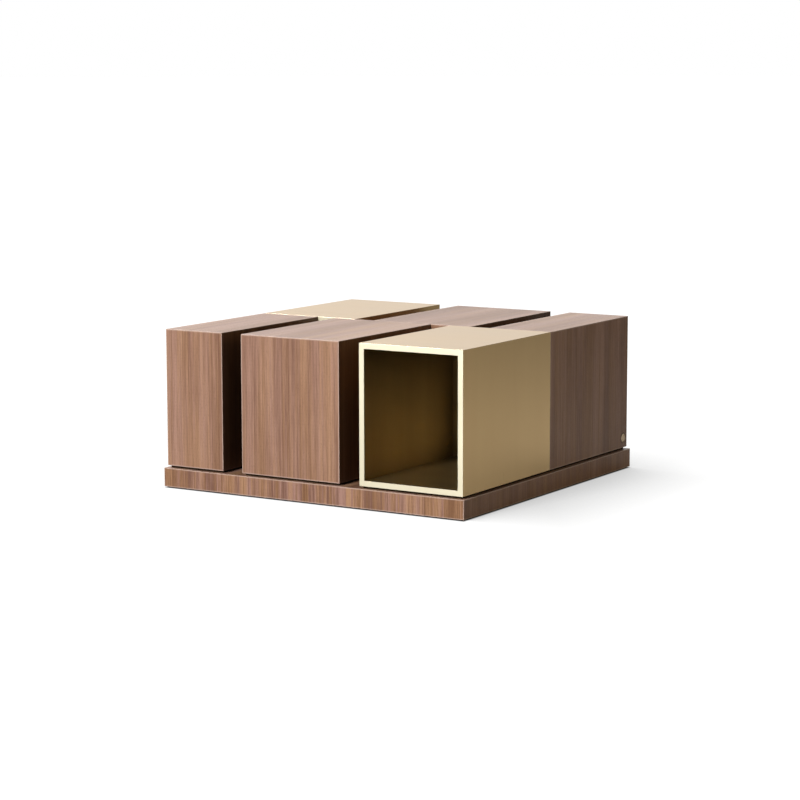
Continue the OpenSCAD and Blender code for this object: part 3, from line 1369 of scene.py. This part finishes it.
@dataclass
class Fastenings:
    """Bolts, washers and threaded inserts, one group to each."""

    finishes: Finishes
    steel: Textured = ZINC_PLATE
    yellow: Textured = YELLOW_PLATE
    flats: int = 48
    bolt_flats: int = 24
    shank: float = 8 * MM
    slack: float = 0.1 * MM
    washer_hole: float = 8.4 * MM
    stud: float = 10 * MM
    head_height: float = 4.4 * MM
    key: float = 5 * MM
    key_depth: float = 2.42 * MM
    dome_share: float = 0.75
    dome_steps: int = 8
    pitch: float = 1.25 * MM
    thread_depth: float = 0.4 * MM
    tip: float = 0.5 * MM
    body: str = "table"

    def rings(self, maker: Tree, node: str, hole: float, finish: Textured) -> None:
        """Replaces a group of ring-shaped pieces.

        Args:
            maker: The tree that makes rings.
            node: The CAD node.
            hole: The rings' inner diameter.
            finish: Their finish.
        """
        boxes = islands(node)
        low, high = boxes[0]
        piece = points_piece(f"{node}_set", (between(*box) for box in boxes))
        maker.grow(
            piece, Inner_diameter=hole, Outer_diameter=high.x - low.x, Height=high.z - low.z,
            Flats=self.flats, Material=self.finishes.material(finish),
        )
        settle(piece, self.body, finish.slot, node)

    def bolt(self, low: Vector, high: Vector) -> bpy.types.Object:
        """Makes one button-head bolt with its head down and its foot at the origin.

        Args:
            low: Lowest corner of a bolt in the frame.
            high: Highest corner of the same bolt.

        Returns:
            A pattern that isn't shown itself.
        """
        reach, length = (high.x - low.x) / 2, high.z - low.z
        head, crest = self.head_height, (self.shank - self.slack) / 2
        root = crest - self.thread_depth
        turns = (math.pi / 2 * i / self.dome_steps for i in range(2, self.dome_steps + 1))
        dome = [(reach * math.sin(turn), head * self.dome_share * (1 - math.cos(turn))) for turn in turns]
        outline = [(0.0, dome[0][1])] + dome + [(reach, head), (crest, head)]
        outline += threaded(root, crest, head, length - MM, self.pitch)
        outline += [(root - self.tip, length), (0.0, length)]
        pattern = new_piece("bolt_pattern", as_mesh(lathe(outline, self.bolt_flats), "bolt_pattern"))
        socket = bmesh.new()
        corners = self.key / math.sqrt(3)
        bmesh.ops.create_cone(
            socket, cap_ends=True, segments=6, radius1=corners, radius2=corners, depth=2 * self.key_depth)
        cutter = new_piece("key_socket", as_mesh(socket, "key_socket"))
        cut = pattern.modifiers.new("socket", "BOOLEAN")
        cut.object, cut.operation, cut.solver = cutter, "DIFFERENCE", "EXACT"
        baked(pattern)
        bpy.data.objects.remove(cutter)
        return pattern

    def bolts(self, node: str) -> None:
        """Replaces the group of bolts.

        Args:
            node: The CAD node.
        """
        boxes = islands(node)
        pattern = self.bolt(*boxes[0])
        piece = points_piece(f"{node}_set", (Vector((*between(low, high).xy, low.z)) for low, high in boxes))
        copies_tree().grow(
            piece, Pattern=pattern, Size=1.0, Seed=5, Material=self.finishes.material(self.steel))
        bpy.data.objects.remove(pattern)
        settle(piece, self.body, self.steel.slot, node)

    def build(self) -> None:
        """Makes every group."""
        maker = ring_tree()
        self.rings(maker, "block_washers", self.washer_hole, self.steel)
        self.rings(maker, "block_inserts", self.shank, self.yellow)
        self.rings(maker, "foot_inserts", self.stud, self.yellow)
        self.bolts("block_bolts")


@dataclass
class Feet:
    """Four levelling feet, each on a body of its own."""

    finishes: Finishes
    finish: Textured = MOULDED_NYLON
    flats: int = 64
    smooth_below: float = 35.0
    base_height: float = 7 * MM
    sole_edge: float = 1.0 * MM
    base_edge: float = 0.6 * MM
    stud_radius: float = 4.95 * MM
    stud_tip: float = 1.3 * MM
    pitch: float = 1.5 * MM
    thread_depth: float = 0.5 * MM
    ribs: int = 40
    rib_depth: float = 0.8 * MM
    rib_width: float = 1.2 * MM
    rib_proud: float = 0.6

    def outline(self, radius: float, length: float) -> list[tuple[float, float]]:
        """The foot's outline from the middle of its sole to the stud's tip.

        Args:
            radius: The base's radius over its ribs.
            length: The whole foot's height.

        Returns:
            Points (radius, height).
        """
        body, stud, height = radius - self.rib_proud * self.rib_depth, self.stud_radius, self.base_height
        sole = [(0.0, 0.0), (body - self.sole_edge, 0.0)]
        sole += [(body - 0.3 * self.sole_edge, 0.3 * self.sole_edge), (body, self.sole_edge)]
        base = [(body, height - self.base_edge), (body - self.base_edge, height), (stud + MM, height)]
        thread = threaded(stud - self.thread_depth, stud, height, length - MM, self.pitch)
        return sole + base + [(stud, height)] + thread + [(stud - self.stud_tip, length), (0.0, length)]

    def build(self) -> None:
        """Makes each foot and ribs its rim for the fingers."""
        ribber = rib_tree()
        for name in sorted(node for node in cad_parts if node.endswith("_foot")):
            low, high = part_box(name)
            radius = (high.x - low.x) / 2
            middle = Vector((*between(low, high).xy, low.z))
            bm = lathe(self.outline(radius, high.z - low.z), self.flats)
            bmesh.ops.translate(bm, verts=bm.verts, vec=middle)
            piece = new_piece(f"{name}_turned", as_mesh(bm, name, self.smooth_below))
            ribber.grow(
                piece, Count=self.ribs, Rim_radius=radius, Rib_height=self.base_height - 2 * self.sole_edge,
                Rib_depth=self.rib_depth, Rib_width=self.rib_width,
                Centre=tuple(middle + Vector((0, 0, self.base_height / 2))),
                Material=self.finishes.material(self.finish),
            )
            settle(piece, name, self.finish.slot, name)


@dataclass
class InlaidDisc:
    """The plain brass disc let into the back right block."""

    finishes: Finishes
    finish: SpunBrass = SpunBrass()
    node: str = "inlaid_disc"
    flats: int = 96
    border: float = 1.6 * MM
    edge: float = 0.3 * MM
    edge_knee: float = 0.1 * MM
    sunk: float = 0.2 * MM
    body: str = "table"

    def build(self) -> None:
        """Turns the disc with a low raised border and lays it against the block's right side."""
        low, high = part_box(self.node)
        radius, thick = (high.z - low.z) / 2, high.x - low.x
        inside, floor = radius - self.border, thick - self.sunk
        outline = [
            (0.0, 0.0), (radius, 0.0), (radius, thick - self.edge),
            (radius - self.edge_knee, thick - self.edge_knee), (radius - self.edge, thick),
            (inside, thick), (inside - self.sunk, floor), (0.0, floor),
        ]
        bm = lathe(outline, self.flats)
        middle = Vector((low.x, *between(low, high).yz))
        bm.transform(Matrix.Translation(middle) @ Matrix.Rotation(math.pi / 2, 4, "Y"))
        piece = new_piece(f"{self.node}_turned", as_mesh(bm, f"{self.node}_turned"))
        self.finishes.dress(piece, self.finish)
        settle(piece, self.body, self.finish.slot, self.node)


# ---------------------------------------------------------------------------
# Studio
# ---------------------------------------------------------------------------

WHITE = (1.0, 1.0, 1.0, 1.0)


@dataclass(frozen=True)
class Softbox:
    """A rectangular soft light that faces the object."""

    name: str
    towards: tuple[float, float, float]
    distance: float
    width: float
    height: float
    power: float
    colour: Colour = (1.0, 1.0, 1.0)

    def hang(self, middle: Vector) -> None:
        """Hangs the light.

        Args:
            middle: The middle of the object's box, which the light faces.
        """
        data = bpy.data.lights.new(self.name, "AREA")
        data.shape, data.size, data.size_y = "RECTANGLE", self.width, self.height
        data.energy, data.color = self.power, self.colour
        way = Vector(self.towards).normalized()
        light = bpy.data.objects.new(self.name, data)
        turn = way.to_track_quat("Z", "Y").to_matrix().to_4x4()
        light.matrix_world = Matrix.Translation(middle + way * self.distance) @ turn
        bpy.context.scene.collection.objects.link(light)


@dataclass(frozen=True)
class Wall:
    """A bright patch of the room round the object.

    The brightness rises from nothing where the direction's cosine to the patch is edge, to all
    of it where the cosine is full.
    """

    towards: tuple[float, float, float]
    brightness: float
    edge: float
    full: float


class StageGraph(Graph):
    """The shader tree of the floor or the room, which ends in a shader of its own."""

    def __init__(self, holder: Union[bpy.types.Material, bpy.types.World]) -> None:
        """Starts with an empty tree.

        Args:
            holder: The new material or world.
        """
        super().__init__(holder)
        self.nodes.clear()

    def choose(self, share: Socket, a: Socket, b: Socket) -> Socket:
        """Shows shader a where the share is 0 and shader b where it is 1."""
        return self.filled("ShaderNodeMixShader", share, a, b).outputs[0]

    def seen_or_felt(self, seen: Socket, felt: Socket) -> Socket:
        """Shows one shader to the camera itself, and another to the light on its way round."""
        return self.choose(self.node("ShaderNodeLightPath").outputs["Is Camera Ray"], felt, seen)

    def show(self, shader: Socket) -> None:
        """Ends the tree in a shader."""
        kind = "World" if isinstance(self.holder, bpy.types.World) else "Material"
        self.node(f"ShaderNodeOutput{kind}", Surface=shader)


@dataclass(frozen=True)
class Floor:
    """A pale floor that glows white to the camera under a painted shadow, throws less light back than it
    shows, and is clear from below.
    """

    radius: float = 120.0
    flats: int = 96
    shown: float = 0.055
    near: float = 0.965
    far: float = 1.05
    fade: Span = (0.7, 1.8)
    bounce_way: tuple[float, float, float] = (0.5, 0.85, 0.0)
    bounce_fade: Span = (-0.6, 0.2)
    bounce: Span = (0.10, 0.31)
    shadow_way: tuple[float, float, float] = (0.8, 0.6, 0.0)
    shadow_fade: Span = (0.10, 0.32)
    shadow_reach: Span = (0.001, 0.36)
    shadow_depth: float = 0.82
    contact: float = 4 * MM

    def brightness(self, g: StageGraph, place: Socket, half: float) -> Socket:
        """How bright the floor looks: a painted shadow, dark under the object and shaded on its lee side.

        Args:
            g: The floor's tree.
            place: The point's place in the frame.
            half: Half of the object's width and depth.

        Returns:
            The brightness.
        """
        x, y, _ = g.split(g.filled("ShaderNodeVectorMath", place, operation="ABSOLUTE").outputs["Vector"])
        outside = g.spread(g.math("MAXIMUM", x, y), half - self.contact, half + self.contact, soft=False)
        lee = g.spread(g.facing(place, self.shadow_way), *self.shadow_fade, *self.shadow_reach, soft=False)
        shadow = g.spread(g.openness(lee), 0.0, 1.0, 1.0 - self.shadow_depth, 1.0, soft=False)
        away = g.filled("ShaderNodeVectorMath", place, operation="LENGTH").outputs["Value"]
        level = g.spread(away, *self.fade, self.near, self.far)
        return g.math("MULTIPLY", level, g.math("MULTIPLY", shadow, outside))

    def material(self, half: float) -> bpy.types.Material:
        """Makes the floor's material.

        Args:
            half: Half of the object's width and depth.

        Returns:
            The material.
        """
        g = StageGraph(bpy.data.materials.new("studio_floor"))
        place = g.place()
        matt = g.node("ShaderNodeBsdfDiffuse", Color=(self.shown, self.shown, self.shown, 1.0))
        # The glow carries the painted shadow; the lights' own shadows hardly show on the floor.
        glow = g.node("ShaderNodeEmission", Strength=self.brightness(g, place, half))
        seen = g.filled("ShaderNodeAddShader", matt.outputs[0], glow.outputs[0]).outputs[0]
        grey = g.spread(g.facing(place, self.bounce_way), *self.bounce_fade, *self.bounce)
        felt = g.node("ShaderNodeBsdfDiffuse", Color=grey).outputs[0]
        below = g.node("ShaderNodeNewGeometry").outputs["Backfacing"]
        clear = g.node("ShaderNodeBsdfTransparent").outputs[0]
        g.show(g.choose(below, g.seen_or_felt(seen, felt), clear))
        return g.holder

    def build(self, half: float) -> None:
        """Lays the floor.

        Args:
            half: Half of the object's width and depth.
        """
        bm = bmesh.new()
        bmesh.ops.create_circle(bm, cap_ends=True, segments=self.flats, radius=self.radius)
        piece = new_piece("studio_floor", as_mesh(bm, "studio_floor"))
        piece.data.materials.append(self.material(half))


@dataclass(frozen=True)
class Viewpoint:
    """Where the camera stands and how it is set. Angles are in degrees."""

    azimuth: float = 31.65
    elevation: float = 8.17
    roll: float = -0.105
    distance: float = 6.467
    aside: float = -0.0062
    lens: float = 108.12
    sensor: float = 36.0

    def build(self, middle: Vector) -> None:
        """Aims the camera at a point a little to one side of the object's middle.

        Args:
            middle: The middle of the object's box.
        """
        a, e, r = (math.radians(x) for x in (self.azimuth, self.elevation, self.roll))
        back = Vector((math.sin(a) * math.cos(e), -math.cos(a) * math.cos(e), math.sin(e)))
        sideways = Vector((math.cos(a), math.sin(a), 0.0))
        upright = back.cross(sideways)
        right = math.cos(r) * sideways + math.sin(r) * upright
        up = math.cos(r) * upright - math.sin(r) * sideways
        data = bpy.data.cameras.new("camera")
        data.lens, data.sensor_width = self.lens, self.sensor
        camera = bpy.data.objects.new("camera", data)
        turn = Matrix((right, up, back)).transposed().to_4x4()
        stand = middle + self.aside * sideways + back * self.distance
        camera.matrix_world = Matrix.Translation(stand) @ turn
        bpy.context.scene.collection.objects.link(camera)
        bpy.context.scene.camera = camera


@dataclass(frozen=True)
class Studio:
    """The floor, four soft lights, a dim room with two bright walls, and the camera."""

    viewpoint: Viewpoint = Viewpoint()
    floor: Floor = Floor()
    lights: tuple[Softbox, ...] = (
        Softbox("key", (-0.07, -0.90, 0.40), 7.0, 1.0, 3.0, 1120.0),
        Softbox("left", (-0.90, -0.12, 0.35), 6.0, 2.4, 2.4, 320.0),
        Softbox("fill", (0.90, 0.15, 0.40), 5.0, 2.0, 2.0, 52.0, (1.0, 0.90, 0.52)),
        Softbox("overhead", (-0.55, 0.05, 0.83), 4.0, 1.2, 1.2, 180.0),
    )
    walls: tuple[Wall, ...] = (
        Wall((-0.77, 0.62, 0.15), 0.925, 0.10, 0.75),
        Wall((0.70, -0.70, 0.12), 0.60, 0.25, 0.90),
    )
    room_light: float = 0.015

    def surround(self) -> None:
        """Makes the room, which is plain white to the camera itself."""
        world = bpy.data.worlds.new("surround")
        bpy.context.scene.world = world
        g = StageGraph(world)
        way = g.node("ShaderNodeTexCoord").outputs["Generated"]
        level: Plug = self.room_light
        for wall in self.walls:
            lit = g.spread(g.facing(way, wall.towards), wall.edge, wall.full, 0.0, wall.brightness)
            level = g.math("ADD", lit, level)
        seen = g.node("ShaderNodeBackground", Color=WHITE).outputs[0]
        felt = g.node("ShaderNodeBackground", Color=WHITE, Strength=level).outputs[0]
        g.show(g.seen_or_felt(seen, felt))

    def build(self, low: Vector, high: Vector) -> None:
        """Sets the studio up round the object.

        Args:
            low: The lowest corner of the object's box.
            high: Its highest corner.
        """
        bpy.context.scene.view_settings.view_transform = "Standard"
        middle = between(low, high)
        self.viewpoint.build(middle)
        self.floor.build(high.x)
        for light in self.lights:
            light.hang(middle)
        self.surround()


# ---------------------------------------------------------------------------
# The whole table
# ---------------------------------------------------------------------------


def main() -> None:
    """Builds the studio and every sub-assembly."""
    logging.basicConfig(level=logging.INFO, format="%(name)s: %(message)s")
    Studio().build(*cad_box)
    finishes = Finishes()
    assemblies = (
        Plinth(finishes),
        WalnutBlock("front_left_block", finishes, (Side.RIGHT,)),
        WalnutBlock("front_middle_block", finishes, (Side.LEFT, Side.RIGHT)),
        BrassBox("front_right_box", finishes, Side.FRONT),
        BrassBox("back_left_box", finishes, Side.BACK),
        WalnutBlock("back_middle_block", finishes, (Side.LEFT, Side.RIGHT)),
        WalnutBlock("back_right_block", finishes, (Side.LEFT,)),
        Fastenings(finishes),
        Feet(finishes),
        InlaidDisc(finishes),
    )
    for assembly in assemblies:
        assembly.build()


if __name__ == "__main__":
    main()
